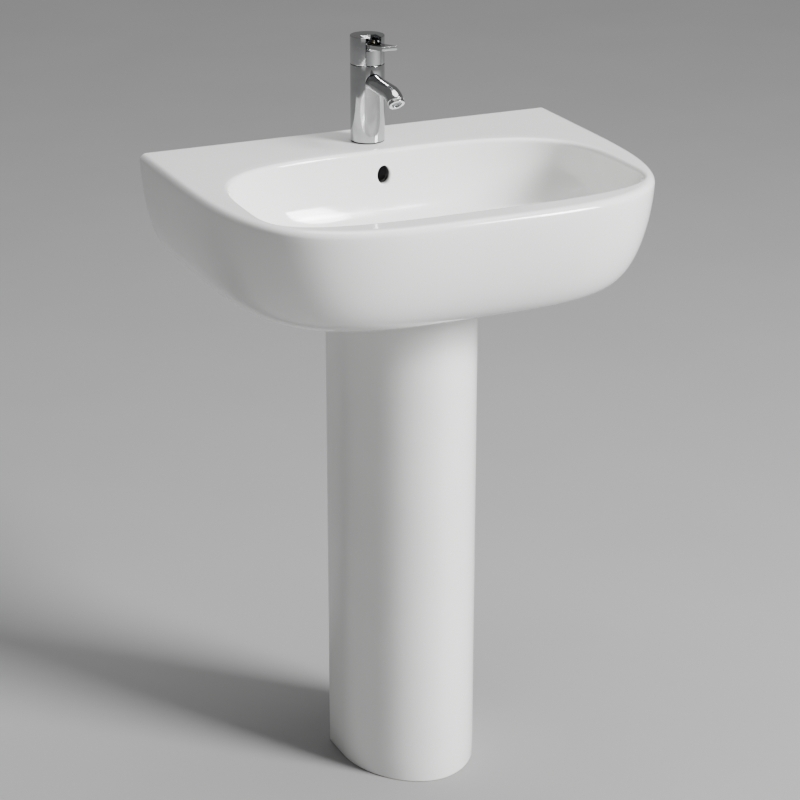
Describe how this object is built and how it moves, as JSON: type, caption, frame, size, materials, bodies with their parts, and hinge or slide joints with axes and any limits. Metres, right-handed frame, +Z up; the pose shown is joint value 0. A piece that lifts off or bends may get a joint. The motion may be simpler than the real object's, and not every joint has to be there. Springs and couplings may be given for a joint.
{
  "type": "pedestal sink",
  "caption": "Pedestal wash basin: oval bowl with wide tap deck on a D-shaped column, single-lever mixer tap, push-open waste and bottle trap.",
  "frame": {"origin": "floor level, midway across the width and the depth of the whole sink", "axes": "+Z up, front of the basin faces -Y, the wall is the plane y = +0.225 m, +X is on the right of someone who stands at the basin"},
  "size_m": [0.6, 0.45, 0.993],
  "materials": {
    "china": "glossy white vitreous china glaze",
    "chrome": "polished chrome plate",
    "rubber": "matt black moulded rubber",
    "brass": "turned brass, unplated",
    "white_plastic": "satin white moulded polypropylene",
    "grey_plastic": "grey moulded acetal",
    "steel": "zinc-plated steel"
  },
  "bodies": {
    "root": {"basin": "china", "pedestal": "china", "pedestal_bracket_left": "steel", "floor_screw_left": "steel", "pedestal_screw_left": "steel", "pedestal_nut_left": "steel", "pedestal_bracket_right": "steel", "floor_screw_right": "steel", "pedestal_screw_right": "steel", "pedestal_nut_right": "steel", "wall_stud_left": "steel", "wall_sleeve_left": "white_plastic", "wall_washer_left": "steel", "wall_nut_left": "steel", "wall_stud_right": "steel", "wall_sleeve_right": "white_plastic", "wall_washer_right": "steel", "wall_nut_right": "steel", "tap_body": "chrome", "tap_spout": "chrome", "cartridge_body": "grey_plastic", "cartridge_nut": "brass", "tap_base_seal": "rubber", "aerator_housing": "chrome", "aerator_insert": "grey_plastic", "tap_stud": "brass", "tap_gasket": "rubber", "tap_plate": "steel", "tap_nut": "brass", "hot_inlet": "brass", "cold_inlet": "brass", "waste_body": "chrome", "waste_upper_seal": "rubber", "waste_lower_seal": "rubber", "waste_back_nut": "brass", "latch_barrel": "white_plastic", "plug_spring": "steel", "trap_inlet_nut": "white_plastic", "trap_inlet_washer": "rubber", "trap_body": "white_plastic", "trap_cup_seal": "rubber", "trap_cup": "white_plastic", "trap_outlet_nut": "white_plastic", "trap_outlet_washer": "rubber", "outlet_pipe": "white_plastic", "wall_flange": "white_plastic"},
    "swivel": {"handle_drum": "chrome", "drum_grub_screw": "steel", "lever_pin": "steel", "cartridge_spindle": "grey_plastic"},
    "lever": {"tap_lever": "chrome"},
    "plug": {"waste_plug": "chrome", "plug_seal": "rubber", "plug_stem": "brass"}
  },
  "joints": [
    {"name": "tap_swivel", "type": "hinge", "parent": "root", "child": "swivel", "pos_m": [0, 0.165, 0.96], "axis": [0, 0, 1], "range_deg": [-45, 45]},
    {"name": "lever_lift", "type": "hinge", "parent": "swivel", "child": "lever", "pos_m": [0, 0.157, 0.9785], "axis": [-1, 0, 0], "range_deg": [0, 22]},
    {"name": "plug_press", "type": "slide", "parent": "root", "child": "plug", "axis": [0, 0, -1], "range_m": [0, 0.009], "deforming": ["plug_spring"]}
  ]
}
